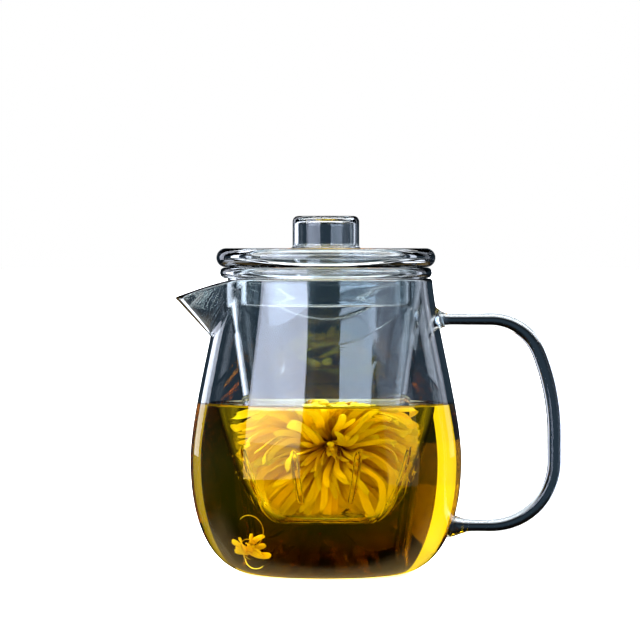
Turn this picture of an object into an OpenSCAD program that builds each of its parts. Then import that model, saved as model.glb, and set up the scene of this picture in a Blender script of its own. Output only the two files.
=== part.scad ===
// Glass teapot: a blown pot with a drawn pouring beak and a bent rod handle, a slotted glass infuser
// that hangs in its mouth, and a glass lid with a locating skirt and a hollow knob.
// Origin: centre of the base, on the surface the pot stands on. +Z is up, the spout points to -X and
// the handle to +X. Millimetres.

/* [Pot] */
// Largest outside radius of the bulb
pot_r = 52.6; // [50:0.1:56]
// Height of the top of the mouth above the table
mouth_z = 114.4; // [112:0.2:118]
// Outside radius of the neck at the mouth
mouth_r = 41.3; // [41:0.1:43]
// Wall thickness of the bulb
bulb_wall = 1.9; // [1.6:0.1:2.2]
// Wall thickness at the mouth
mouth_wall = 2.4; // [2.2:0.1:2.6]
// Radius of the flat that the pot stands on
foot_r = 26; // [24:0.5:30]

/* [Spout] */
// Distance of the beak's tip from the pot's axis
beak_reach = 59.4; // [55:0.1:60]
// How far the beak's tip lies below the mouth
beak_drop = 7.1; // [5:0.1:8]
// Half of the angle that the beak takes from the mouth, in degrees
beak_half_angle = 39; // [34:1:42]

/* [Handle] */
// Rod diameter at the grip
grip_d = 6.0; // [5:0.1:7]
// Rod diameter where it is drawn down at the welds
rod_end_d = 4.7; // [4:0.1:5.5]
// Height of the upper run of the rod
handle_top_z = 98.4; // [97:0.1:100]

/* [Infuser] */
// Outside radius of the infuser just under its rim
cup_r = 38.2; // [37:0.1:38.4]
// Wall thickness of the infuser
cup_wall = 1.8; // [1.5:0.1:2]
// Number of straining slots
slot_count = 8; // [6:1:12]
// Width of one slot
slot_w = 1.6; // [1.2:0.1:2]

/* [Lid] */
// Outside radius of the lid's rolled edge
lid_r = 42.4; // [42:0.1:43.5]
// Thickness of the rolled edge
bead_d = 7.3; // [6.5:0.1:7.5]
// Outside radius of the locating skirt
skirt_r = 33.3; // [32:0.1:34]
// Outside radius of the knob
knob_r = 12.9; // [11:0.1:14]
// Height of the knob above the lid
knob_h = 12.5; // [11:0.1:14]

/* [Hidden] */
clear_glass = [0.80, 0.86, 0.90, 0.45];
$fn = 96;

seat_gap = 0.1;                             // between loose glass parts that rest on each other
bulb_z = 44;                                // height of the bulb's widest circle
curve_steps = 14;                           // straight steps in each curve of a wall's profile

mouth_edge_z = mouth_z - mouth_wall / 2;    // where the rounded lip of the mouth begins
spout_base_z = 92;                          // the lowest point of the beak
beak_root_angle = 7;                        // half angle of the beak at its lowest point
beak_tip_angle = 3;                         // rounding of its tip, in degrees
spout_steps = 44;

rim_t = 4.2;                                // the infuser's rolled rim
rim_z = mouth_z + seat_gap;
rim_r = 41.1;
rim_in_r = cup_r - cup_wall - 0.2;
cup_floor_z = 23.4;
cup_floor_r = 12;
cup_knee = [31.8, 62];                        // where the cup's side turns into its bowl
slot_low_z = 29.5;
slot_high_z = 48;

bead_z = rim_z + rim_t + seat_gap + bead_d / 2;
bead_r = lid_r - bead_d / 2;
plate_top_z = bead_z + bead_d / 2;
plate_t = 2.6;
skirt_wall = 2;
skirt_low_z = 103.8;
cove_out = 5.0;                             // the cove under the rolled edge reaches this far out
cove_sunk = 0.25;                           // starts this deep in the rolled edge
cove_down = 7.1;                            // and this far down
knob_wall = 2;
knob_round = 2.2;
knob_foot = 1.0;

// A cubic Bezier curve through p[0] and p[3], steered by p[1] and p[2].
function bezier(p, t) =
    pow(1 - t, 3) * p[0] + 3 * t * pow(1 - t, 2) * p[1] + 3 * t * t * (1 - t) * p[2] + pow(t, 3) * p[3];
// The curve's direction at t, of length 1.
function bezier_way(p, t) =
    let (d = pow(1 - t, 2) * (p[1] - p[0]) + 2 * t * (1 - t) * (p[2] - p[1]) + t * t * (p[3] - p[2]))
    d / norm(d);
// The point a distance w to the left of the curve.
function bezier_left(p, t, w) = let (d = bezier_way(p, t)) bezier(p, t) + w * [-d[1], d[0]];
function along(p, n) = [for (i = [0:n]) bezier(p, i / n)];
function along_left(p, n, w) = [for (i = [0:n]) bezier_left(p, i / n, w)];
function reversed(a) = [for (i = [len(a) - 1:-1:0]) a[i]];
function without_first(a) = [for (i = [1:len(a) - 1]) a[i]];

bulb_curve = [[foot_r, 0], [foot_r + 18, 0], [pot_r, 18.5], [pot_r, bulb_z]];
neck_curve = [[pot_r, bulb_z], [pot_r, 62], [mouth_r + 1.2, 97], [mouth_r, mouth_edge_z]];
cup_side_curve = [[cup_r, rim_z], [cup_r - 0.7, 100], [cup_knee[0] + 1.7, cup_knee[1] + 12], cup_knee];
cup_bowl_curve = [cup_knee, [cup_knee[0] - 2.2, cup_knee[1] - 15.5], [22.8, cup_floor_z],
                  [cup_floor_r, cup_floor_z]];

// The half circle that rounds the lip of the mouth, from its outside to its inside.
function lip(n) =
    [for (i = [1:n - 1]) let (a = 180 * i / n)
        [mouth_r - mouth_wall / 2 * (1 - cos(a)), mouth_edge_z + mouth_wall / 2 * sin(a)]];

// The part of the neck's curve that the beak is drawn from. It starts at the height spout_base_z.
function rise_to(z, low, high, n) =
    n == 0 ? (low + high) / 2
    : let (m = (low + high) / 2) bezier(neck_curve, m)[1] < z ? rise_to(z, m, high, n - 1)
                                                               : rise_to(z, low, m, n - 1);
spout_t = rise_to(spout_base_z, 0, 1, 24);
neck_t = [for (i = [0:curve_steps]) spout_t * i / curve_steps];
throat_steps = 8;
throat_t = [for (i = [0:throat_steps]) spout_t + (1 - spout_t) * i / throat_steps];
function wall_at(t) = bulb_wall + (mouth_wall - bulb_wall) * t;
throat_out = [for (t = throat_t) bezier(neck_curve, t)];
throat_in = [for (t = throat_t) bezier(neck_curve, t) - [wall_at(t), 0]];
outside_line = concat(along(bulb_curve, curve_steps),
                      without_first([for (t = neck_t) bezier(neck_curve, t)]),
                      without_first(throat_out));

// The solid that the pot's outside encloses.
module pot_outside() {
    rotate_extrude() polygon(concat([[0, 0]], outside_line, [[0, mouth_edge_z]]));
}

module pot_wall() {
    rotate_extrude() polygon(concat(
        [[0, 0]],
        outside_line,
        lip(8),
        reversed(throat_in),
        reversed([for (i = [1:curve_steps - 1]) bezier_left(neck_curve, neck_t[i], wall_at(neck_t[i]))]),
        reversed(along_left(bulb_curve, curve_steps, bulb_wall)),
        [[0, bulb_wall]]));
}

// The wedge of the mouth that the beak takes the place of.
module beak_sector() {
    far = 2 * pot_r;
    translate([0, 0, spout_base_z])
        linear_extrude(mouth_z)
            polygon([[0, 0],
                     [-far * cos(beak_half_angle), far * sin(beak_half_angle)],
                     [-1.5 * far, 0],
                     [-far * cos(beak_half_angle), -far * sin(beak_half_angle)]]);
}

module pot_body() {
    color(clear_glass) difference() {
        pot_wall();
        beak_sector();
    }
}

// How far the beak stands out, from 0 at its sides to 1 along its ridge. a is the angle from the ridge
// and u the height in the beak, from 0 at its root to 1 at the lip.
function rounded(a) = sqrt(a * a + beak_tip_angle * beak_tip_angle) - beak_tip_angle;
function beak_width(u) = beak_root_angle + (beak_half_angle - beak_root_angle) * pow(u, 0.6);
function beak_rise(a, u) = pow(max(0, 1 - rounded(a) / rounded(beak_width(u))), 2.1);
// A point of the throat's profile, carried out to where the beak has it at angle a.
function beak_point(p, a) =
    let (u = (p[1] - spout_base_z) / (mouth_z - spout_base_z),
         ridge = throat_out[0][0] + (beak_reach - throat_out[0][0]) * u,
         base = lookup(p[1], [for (q = throat_out) [q[1], q[0]]]),
         r = p[0] + (ridge - base) * beak_rise(a, u),
         z = p[1] - beak_drop * u * beak_rise(a, 1))
    [-r * cos(a), r * sin(a), z];

module pour_spout() {
    section = concat(throat_out, lip(8), reversed(throat_in));
    m = len(section);
    angles = [for (i = [0:spout_steps]) beak_half_angle * (1 - 2 * i / spout_steps)];
    points = [for (a = angles) for (p = section) beak_point(p, a)];
    sides = [for (i = [0:spout_steps - 1]) for (j = [0:m - 1]) let (k = (j + 1) % m)
        each [[i * m + j, i * m + k, (i + 1) * m + k], [i * m + j, (i + 1) * m + k, (i + 1) * m + j]]];
    caps = [[for (j = [m - 1:-1:0]) j], [for (j = [0:m - 1]) spout_steps * m + j]];
    color(clear_glass) polyhedron(points, concat(sides, caps));
}

// The handle's centreline, in X and Z: straight out of the upper weld, over the shoulder, down the grip,
// round the heel and straight back to the lower weld. Each bend is an arc that begins where the last ends.
upper_weld_x = 48.4;
lower_weld_x = 52.6;
shoulder_r = 20;
shoulder_turn = 68;
grip_bend_r = 85;
heel_r = 25;
shoulder_at = [64, handle_top_z - shoulder_r];
grip_at = shoulder_at + (shoulder_r - grip_bend_r) * [sin(shoulder_turn), cos(shoulder_turn)];
heel_at = [grip_at[0] + grip_bend_r - heel_r, grip_at[1] - 10.5];
function bend(centre, r, from, to, n) =
    [for (i = [0:n]) let (a = from + (to - from) * i / n) centre + r * [sin(a), cos(a)]];
handle_line = concat(
    [for (x = [upper_weld_x:3:shoulder_at[0] - 2]) [x, handle_top_z]],
    bend(shoulder_at, shoulder_r, 0, shoulder_turn, 14),
    without_first(bend(grip_at, grip_bend_r, shoulder_turn, 90, 10)),
    bend(heel_at, heel_r, 90, 180, 18),
    reversed([for (x = [lower_weld_x:3:heel_at[0] - 2]) [x, heel_at[1] - heel_r]]));
handle_low_z = heel_at[1] - heel_r;

module handle_rod() {
    sides = 20;
    last = len(handle_line) - 1;
    ways = [for (i = [0:last])
        let (d = handle_line[min(i + 1, last)] - handle_line[max(i - 1, 0)]) d / norm(d)];
    rings = [for (i = [0:last]) let (r = (rod_end_d + (grip_d - rod_end_d) * sin(180 * i / last)) / 2)
        for (j = [0:sides - 1]) let (a = 360 * j / sides, n = [-ways[i][1], ways[i][0]])
            [handle_line[i][0] + r * cos(a) * n[0], r * sin(a), handle_line[i][1] + r * cos(a) * n[1]]];
    faces = [for (i = [0:last - 1]) for (j = [0:sides - 1]) let (k = (j + 1) % sides)
        each [[i * sides + j, i * sides + k, (i + 1) * sides + k],
              [i * sides + j, (i + 1) * sides + k, (i + 1) * sides + j]]];
    caps = [[for (j = [sides - 1:-1:0]) j], [for (j = [0:sides - 1]) last * sides + j]];
    color(clear_glass) polyhedron(rings, concat(faces, caps));
}

// A gather of glass that spreads from the rod's end onto the pot's wall.
module weld(z, rod_x, spread) {
    length = 9;
    color(clear_glass) difference() {
        translate([rod_x - length, 0, z]) rotate([0, 90, 0]) rotate_extrude() polygon(concat(
            [[0, 0]],
            along([[spread, 0], [spread, length * 0.6], [rod_end_d / 2, length * 0.55],
                   [rod_end_d / 2, length]], 10),
            [[0, length]]));
        pot_outside();
    }
}

module upper_handle_weld() { weld(handle_top_z, upper_weld_x, 6.8); }
module lower_handle_weld() { weld(handle_low_z, lower_weld_x, 4.4); }

// One straining slot: a round-ended cut through the cup's wall, towards +X.
module slot_cut() {
    rotate([90, 0, 90]) linear_extrude(cup_r) {
        translate([-slot_w / 2, slot_low_z]) square([slot_w, slot_high_z - slot_low_z]);
        for (z = [slot_low_z, slot_high_z]) translate([0, z]) circle(d = slot_w, $fn = 32);
    }
}

module infuser_cup() {
    color(clear_glass) difference() {
        rotate_extrude() polygon(concat(
            along(cup_side_curve, curve_steps),
            without_first(along(cup_bowl_curve, curve_steps)),
            [[0, cup_floor_z], [0, cup_floor_z + cup_wall]],
            reversed(along_left(cup_bowl_curve, curve_steps, -cup_wall)),
            reversed([for (i = [1:curve_steps - 1]) bezier_left(cup_side_curve, i / curve_steps, -cup_wall)]),
            [[cup_r - cup_wall, rim_z]]));
        for (i = [0:slot_count - 1]) rotate([0, 0, 360 * (i + 0.5) / slot_count]) slot_cut();
    }
}

// The cup's mouth, rolled out into a thick rim that rests on the pot.
module infuser_rim() {
    round_r = rim_t / 2;
    color(clear_glass) rotate_extrude() difference() {
        union() {
            translate([rim_r - round_r, rim_z + round_r]) circle(round_r);
            translate([rim_in_r, rim_z]) square([rim_r - round_r - rim_in_r, rim_t]);
        }
        translate([rim_in_r, rim_z + rim_t - 1.5]) difference() {
            translate([-1, 0]) square([2.5, 2.5]);
            translate([1.5, 0]) circle(1.5);
        }
    }
}

module plate_solid() {
    rotate_extrude() {
        translate([bead_r, bead_z]) circle(d = bead_d);
        translate([0, plate_top_z - plate_t]) square([bead_r, plate_t]);
    }
}

// A flat disc with a thick rolled edge that rests on the infuser's rim.
module lid_plate() {
    color(clear_glass) plate_solid();
}

// The ring under the lid that keeps it centred in the infuser, with a cove up to the rolled edge.
module lid_skirt() {
    cove_z = bead_z - bead_d / 2 + cove_sunk;
    top_z = plate_top_z - plate_t;
    cove = [[skirt_r, cove_z - cove_down], [skirt_r, cove_z - 1.8], [skirt_r + 1.8, cove_z],
        [skirt_r + cove_out, cove_z]];
    round_end = [for (i = [0:16]) let (a = 180 + 180 * i / 16)
        [skirt_r - skirt_wall / 2 * (1 - cos(a)), skirt_low_z + skirt_wall / 2 * (1 + sin(a))]];
    color(clear_glass) difference() {
        rotate_extrude() polygon(concat([[skirt_r - skirt_wall, top_z]], round_end, along(cove, 12),
            [[skirt_r + cove_out, cove_z + 1], [skirt_r, cove_z + 1], [skirt_r, top_z]]));
        plate_solid();
    }
}

// A blown hollow knob, closed on top and welded to the plate round its foot.
module lid_knob() {
    color(clear_glass) translate([0, 0, plate_top_z]) rotate_extrude() difference() {
        union() {
            square([knob_r, knob_h - knob_round]);
            translate([0, knob_h - knob_round]) square([knob_r - knob_round, knob_round]);
            translate([knob_r - knob_round, knob_h - knob_round]) circle(knob_round);
            difference() {
                square([knob_r + knob_foot, knob_foot]);
                translate([knob_r + knob_foot, knob_foot]) circle(knob_foot);
            }
        }
        translate([0, -1]) square([knob_r - knob_wall, knob_h - knob_wall]);
        translate([-2 * knob_r, -1]) square([2 * knob_r, 2 * knob_h]);
    }
}

pot_body();
pour_spout();
handle_rod();
upper_handle_weld();
lower_handle_weld();
infuser_cup();
infuser_rim();
lid_plate();
lid_skirt();
lid_knob();
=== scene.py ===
"""Looks of a glass teapot: lampworked glass, amber flower tea and a chrysanthemum in the infuser.

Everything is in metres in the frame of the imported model: the origin is the centre of the base, +Z is up,
the spout points to -X and the handle to +X.
"""

import logging
import math
from collections.abc import Callable
from dataclasses import dataclass
from enum import Enum

import bpy
import numpy as np
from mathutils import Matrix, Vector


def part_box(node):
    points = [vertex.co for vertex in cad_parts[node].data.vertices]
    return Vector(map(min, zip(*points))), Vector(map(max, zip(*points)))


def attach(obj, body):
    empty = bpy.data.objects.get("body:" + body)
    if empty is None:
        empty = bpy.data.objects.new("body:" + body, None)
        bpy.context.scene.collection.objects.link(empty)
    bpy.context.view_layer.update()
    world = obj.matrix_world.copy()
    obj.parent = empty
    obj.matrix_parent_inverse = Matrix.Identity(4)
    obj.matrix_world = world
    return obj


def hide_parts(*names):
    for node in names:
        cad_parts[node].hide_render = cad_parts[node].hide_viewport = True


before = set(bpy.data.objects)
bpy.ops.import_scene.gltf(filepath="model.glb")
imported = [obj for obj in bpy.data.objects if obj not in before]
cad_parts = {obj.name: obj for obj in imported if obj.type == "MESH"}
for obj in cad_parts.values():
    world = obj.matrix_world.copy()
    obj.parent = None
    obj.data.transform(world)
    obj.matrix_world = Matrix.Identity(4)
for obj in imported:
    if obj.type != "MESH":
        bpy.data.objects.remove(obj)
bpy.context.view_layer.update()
log = logging.getLogger("teapot")

MM = 0.001
Array = np.ndarray
Point = tuple[float, float]
Spot = tuple[float, float, float]
Stops = tuple[tuple[float, str], ...]
SHARE, FIRST, SECOND, MIXED = 0, 6, 7, 2  # the sockets of a node that mixes colours


class Body(Enum):
    """The loose parts of the pot, by the names of their rigid bodies."""

    POT = "pot"
    INFUSER = "infuser"
    LID = "lid"


# ---- Curves and surfaces ----


def bezier(p0: Point, p1: Point, p2: Point, p3: Point, steps: int) -> Array:
    """Points of a cubic Bezier curve: (1-t)^3 p0 + 3t(1-t)^2 p1 + 3t^2(1-t) p2 + t^3 p3.

    Args:
        p0, p1, p2, p3: the curve's ends and the two points that steer it.
        steps: how many equal steps of t it is cut into.

    Returns:
        steps + 1 points, one a row.
    """
    t = np.linspace(0, 1, steps + 1)[:, None]
    weights = ((1 - t) ** 3, 3 * t * (1 - t) ** 2, 3 * t * t * (1 - t), t**3)
    return sum(w * np.array(p, float) for w, p in zip(weights, (p0, p1, p2, p3)))


def arc(centre: Point, radius: float, start: float, end: float, steps: int) -> Array:
    """Points of a circular arc: centre + radius (cos a, sin a), for a from start to end in degrees.

    Args:
        centre: the circle's centre.
        radius: its radius.
        start, end: the angles between which the arc runs.
        steps: how many equal steps it is cut into.

    Returns:
        steps + 1 points, one a row.
    """
    a = np.radians(np.linspace(start, end, steps + 1))[:, None]
    return np.array(centre, float) + radius * np.hstack([np.cos(a), np.sin(a)])


def line(start: Point, end: Point, steps: int = 6) -> Array:
    """Equally spaced points on the straight line from start to end."""
    t = np.linspace(0, 1, steps + 1)[:, None]
    return (1 - t) * np.array(start, float) + t * np.array(end, float)


def directions(curve: Array) -> Array:
    """The unit directions along a flat curve: its gradient, divided by its length."""
    way = np.gradient(curve, axis=0)
    return way / np.linalg.norm(way, axis=1, keepdims=True)


def round_angles(count: int) -> Array:
    """That many equally spaced angles round a circle, from 0."""
    return np.linspace(0, 2 * np.pi, count, endpoint=False)


def offset(curve: Array, distance: float | Array) -> Array:
    """Moves each point of a flat curve sideways: point + distance * (direction turned 90 degrees left).

    Args:
        curve: the curve's points, one a row.
        distance: how far they move to the left of the curve's direction, one value or one for each point.

    Returns:
        The moved points.
    """
    way = directions(curve)
    return curve + np.asarray(distance).reshape(-1, 1) * np.stack([-way[:, 1], way[:, 0]], 1)


def chain(*parts: Array) -> Array:
    """Joins curves end to end, and drops each point that repeats the one before it."""
    points = np.vstack(parts)
    keep = np.r_[True, np.linalg.norm(np.diff(points, axis=0), axis=1) > 1e-7]
    return points[keep]


def smooth(x: Array) -> Array:
    """The smooth step 3x^2 - 2x^3, with x held between 0 and 1."""
    x = np.clip(x, 0, 1)
    return x * x * (3 - 2 * x)


@dataclass
class Surface:
    """A closed surface: points, one a row, and faces of any number of corners."""

    points: Array
    faces: list[list[int]]

    def volume(self) -> float:
        """Signed volume: the sum over triangles of a . (b x c) / 6, above 0 if the faces look outwards."""
        fans = [(f[0], f[i], f[i + 1]) for f in self.faces for i in range(1, len(f) - 1)]
        a, b, c = self.points[np.array(fans)].transpose(1, 0, 2)
        return float(np.einsum("ij,ij->i", a, np.cross(b, c)).sum() / 6)

    def facing(self, outwards: bool = True) -> "Surface":
        """This surface with its faces turned to look out of what it encloses, or into it."""
        if (self.volume() > 0) == outwards:
            return self
        return Surface(self.points, [f[::-1] for f in self.faces])

    def joined(self, other: "Surface") -> "Surface":
        """This surface and another one as one."""
        shift = len(self.points)
        moved = [[i + shift for i in f] for f in other.faces]
        return Surface(np.vstack([self.points, other.points]), self.faces + moved)


def grid_faces(rows: int, columns: int, keep: Array | None = None) -> list[list[int]]:
    """Quads between the points of a grid whose last column joins its first.

    Args:
        rows, columns: the grid's size, its points numbered along the rows.
        keep: which quads to make, as an array of rows - 1 by columns truth values, or None for all.

    Returns:
        The quads.
    """
    i, j = np.meshgrid(np.arange(rows - 1), np.arange(columns), indexing="ij")
    k = (j + 1) % columns
    quads = np.stack([i * columns + j, i * columns + k, (i + 1) * columns + k, (i + 1) * columns + j], -1)
    return (quads if keep is None else quads[keep]).reshape(-1, 4).tolist()


def closed_grid(points: Array, keep: Array | None = None) -> Surface:
    """Closes a grid of rings, of shape rings by corners by 3, with a pole at the middle of each end ring."""
    rings, corners = points.shape[:2]
    poles = [points[0].mean(0), points[-1].mean(0)]
    j = np.arange(corners)
    k = (j + 1) % corners
    last = (rings - 1) * corners
    size = rings * corners
    fans = np.stack([size + 0 * j, k, j, size + 1 + 0 * j, last + j, last + k], 1).reshape(-1, 3)
    faces = grid_faces(rings, corners, keep) + fans.tolist()
    return Surface(np.vstack([points.reshape(-1, 3), poles]), faces)


def turned(profile: Array, corners: int) -> Array:
    """Turns a profile of (radius, height) round the Z axis: (r cos a, r sin a, z) for each angle a.

    Args:
        profile: the profile's points, one a row.
        corners: how many equal angles it is turned to.

    Returns:
        A grid of points, of shape profile points by corners by 3.
    """
    a = round_angles(corners)
    r, z = profile[:, :1], profile[:, 1:]
    return np.stack([r * np.cos(a), r * np.sin(a), z + 0 * a], -1)


def revolved(profile: Array, corners: int = 240) -> Surface:
    """A closed surface of revolution from a profile that starts and ends on the axis."""
    return closed_grid(turned(profile[1:-1], corners)).facing()


def add_object(name: str, data: bpy.types.ID) -> bpy.types.Object:
    """Adds an object that holds the data to the scene."""
    thing = bpy.data.objects.new(name, data)
    bpy.context.scene.collection.objects.link(thing)
    return thing


# ---- Materials ----


def linear(code: str, strength: float = 1.0) -> tuple[float, float, float, float]:
    """The linear colour of an sRGB hex value such as "#F0C040", times strength, with an alpha of 1."""
    parts = [int(code[i : i + 2], 16) / 255 for i in (1, 3, 5)]
    flat = [c / 12.92 if c <= 0.04045 else ((c + 0.055) / 1.055) ** 2.4 for c in parts]
    return (*[strength * c for c in flat], 1.0)


def add_node(
    tree: bpy.types.NodeTree,
    kind: str,
    settings: dict | None = None,
    inputs: dict | None = None,
    stops: Stops = (),
) -> bpy.types.Node:
    """Adds a node with its settings and its inputs.

    Args:
        tree: the node tree it goes in.
        kind: its type's name, without the "ShaderNode" that it starts with.
        settings: the values of its properties, by name.
        inputs: by a socket's name or number, its value or the output socket that feeds it.
        stops: a colour ramp's places between 0 and 1, each with its sRGB hex colour.

    Returns:
        The node.
    """
    node = tree.nodes.new(f"ShaderNode{kind}")
    for name, value in (settings or {}).items():
        setattr(node, name, value)
    for key, value in (inputs or {}).items():
        if isinstance(value, bpy.types.NodeSocket):
            tree.links.new(value, node.inputs[key])
        else:
            node.inputs[key].default_value = value
    for _ in stops[2:]:
        node.color_ramp.elements.new(0.5)
    for i, (place, colour) in enumerate(stops):
        node.color_ramp.elements[i].position = place
        node.color_ramp.elements[i].color = linear(colour)
    return node


def new_material(name: str) -> tuple[bpy.types.Material, bpy.types.NodeTree]:
    """A material of that name with an empty node tree, and the tree."""
    material = bpy.data.materials.new(name)
    material.use_nodes = True
    material.node_tree.nodes.clear()
    return material, material.node_tree


def clear_surface(
    tree: bpy.types.NodeTree, finish: "BorosilicateGlass | FlowerTea", more: dict | None = None
) -> bpy.types.NodeSocket:
    """A smooth clear shader that lamps shine through: rays on their way to a lamp meet a tinted window.

    Args:
        tree: the material's nodes.
        finish: whose colours and index of refraction it has.
        more: the shader's other inputs.

    Returns:
        The socket to use as the surface.
    """
    clear = {
        "Base Color": linear(finish.colour),
        "Roughness": 0.0,
        "IOR": finish.ior,
        "Specular Tint": linear(finish.gleam),
        "Transmission Weight": 1.0,
        **(more or {}),
    }
    shader = add_node(tree, "BsdfPrincipled", inputs=clear).outputs[0]
    to_lamp = add_node(tree, "LightPath").outputs["Is Shadow Ray"]
    window = add_node(tree, "BsdfTransparent", inputs={"Color": linear(finish.shadow)}).outputs[0]
    return add_node(tree, "MixShader", inputs={0: to_lamp, 1: shader, 2: window}).outputs[0]


@dataclass(frozen=True)
class BorosilicateGlass:
    """Borosilicate glass, blown and flame-polished: clear, with the faint slow waves of hand work."""

    name: str = "borosilicate_glass_flame_polished"
    colour: str = "#F7FBFC"  # a trace of cold green, seen where the wall is thick
    shadow: str = "#EEF4F6"
    gleam: str = "#FFFFFF"  # tints what it mirrors
    ior: float = 1.473
    wave_size: float = 14 * MM
    wave_depth: float = 0.012 * MM

    def material(self) -> bpy.types.Material:
        """The glass, with its waves as a bump in Object coordinates."""
        material, tree = new_material(self.name)
        place = add_node(tree, "TexCoord").outputs["Object"]
        scale = {"Vector": place, "Scale": 1 / self.wave_size, "Detail": 1.0}
        waves = add_node(tree, "TexNoise", inputs=scale).outputs["Fac"]
        relief = {"Height": waves, "Distance": self.wave_depth, "Strength": 1.0}
        bump = add_node(tree, "Bump", inputs=relief)
        seen = clear_surface(tree, self, {"Normal": bump.outputs["Normal"]})
        add_node(tree, "OutputMaterial", inputs={"Surface": seen})
        return material


# Glass where tea wets it doesn't gleam by itself. Glass with tea behind it gets a painted reflection: its
# reflections are tinted straw yellow.
WET_GLASS_AND_PAINTED_SHEEN = (
    BorosilicateGlass("borosilicate_glass_in_tea", gleam="#000000"),
    # painted straw-yellow tint on the reflections of the outer wall in front of the tea
    BorosilicateGlass("borosilicate_glass_over_tea_painted_yellow_sheen", gleam="#FFEA9A"),
)


@dataclass(frozen=True)
class FlowerTea:
    """Chrysanthemum tea: clear amber water that takes blue first, so it is straw where thin and brown where
    deep."""

    name: str = "chrysanthemum_tea"
    colour: str = "#FFF3C4"
    gleam: str = "#000000"  # it lies on glass, so it gleams only at a glancing angle
    shadow: str = "#FFF8E0"
    ior: float = 1.333
    taken_red: float = 2.0  # share of each colour absorbed in a metre
    taken_green: float = 8.0
    taken_blue: float = 70.0

    def material(self) -> bpy.types.Material:
        """Water with a plain absorption, which makes it darker with depth."""
        material, tree = new_material(self.name)
        density = self.taken_blue
        kept = [1 - taken / density for taken in (self.taken_red, self.taken_green, self.taken_blue)]
        depth = add_node(tree, "VolumeAbsorption", inputs={"Color": (*kept, 1), "Density": density})
        ends = {"Surface": clear_surface(tree, self), "Volume": depth.outputs[0]}
        add_node(tree, "OutputMaterial", inputs=ends)
        return material


@dataclass(frozen=True)
class Petal:
    """Soaked chrysanthemum petal: thin, soft yellow skin that light passes, orange-brown at its root, with
    fine veins along it. The orange-brown root is partly the petal's own colour and partly painted shade
    of the flower's deep heart."""

    name: str = "chrysanthemum_petal"
    # orange-brown root: partly the petal's own colour, partly painted shade of the deep heart
    root: str = "#7A4A08"
    throat: str = "#D8A818"
    middle: str = "#FFE628"
    tip: str = "#FFF25A"
    vein_depth: float = 0.06 * MM
    veins: float = 5.0
    through: float = 0.42  # share of the light that passes through the skin

    def material(self) -> bpy.types.Material:
        """A skin that shines by itself and by the light behind it, coloured along the petal."""
        material, tree = new_material(self.name)
        along, across, tone = (
            add_node(tree, "Attribute", {"attribute_name": name}).outputs["Fac"]
            for name in ("along", "across", "tone")
        )
        stops = ((0.0, self.root), (0.16, self.throat), (0.45, self.middle), (1.0, self.tip))
        ramp = add_node(tree, "ValToRGB", inputs={"Fac": along}, stops=stops)
        shade = {"Value": tone, "Color": ramp.outputs["Color"]}
        colour = add_node(tree, "HueSaturation", inputs=shade).outputs["Color"]
        turns = {0: across, 1: self.veins * 2 * math.pi}
        phase = add_node(tree, "Math", {"operation": "MULTIPLY"}, turns)
        vein = add_node(tree, "Math", {"operation": "SINE"}, {0: phase.outputs[0]})
        relief = {"Height": vein.outputs[0], "Distance": self.vein_depth, "Strength": 0.7}
        normal = add_node(tree, "Bump", inputs=relief).outputs["Normal"]
        soaked = {"Base Color": colour, "Roughness": 0.55, "Specular IOR Level": 0.3, "Normal": normal}
        skin = add_node(tree, "BsdfPrincipled", inputs=soaked)
        behind = add_node(tree, "BsdfTranslucent", inputs={"Color": colour, "Normal": normal})
        shares = {0: self.through, 1: skin.outputs[0], 2: behind.outputs[0]}
        both = add_node(tree, "MixShader", inputs=shares)
        add_node(tree, "OutputMaterial", inputs={"Surface": both.outputs[0]})
        return material


@dataclass(frozen=True)
class FlowerHeart:
    """The soaked flower head's core: matt brown, mottled. Its dark brown is partly the core's own colour and
    partly painted shade of the hollow heart.
    """

    name: str = "chrysanthemum_heart_with_painted_shade"
    # very dark brown: partly the core's colour, partly painted shade of the hollow heart
    dark: str = "#2E1604"
    light: str = "#8A5410"
    grain: float = 0.8 * MM

    def material(self) -> bpy.types.Material:
        """Brown mottled by noise."""
        material, tree = new_material(self.name)
        place = add_node(tree, "TexCoord").outputs["Object"]
        scale = {"Vector": place, "Scale": 1 / self.grain, "Detail": 3.0}
        spots = add_node(tree, "TexNoise", inputs=scale).outputs["Fac"]
        browns = {SHARE: spots, FIRST: linear(self.dark), SECOND: linear(self.light)}
        mottle = add_node(tree, "Mix", {"data_type": "RGBA"}, browns).outputs[MIXED]
        skin = add_node(tree, "BsdfPrincipled", inputs={"Base Color": mottle, "Roughness": 0.8})
        add_node(tree, "OutputMaterial", inputs={"Surface": skin.outputs[0]})
        return material


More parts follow.
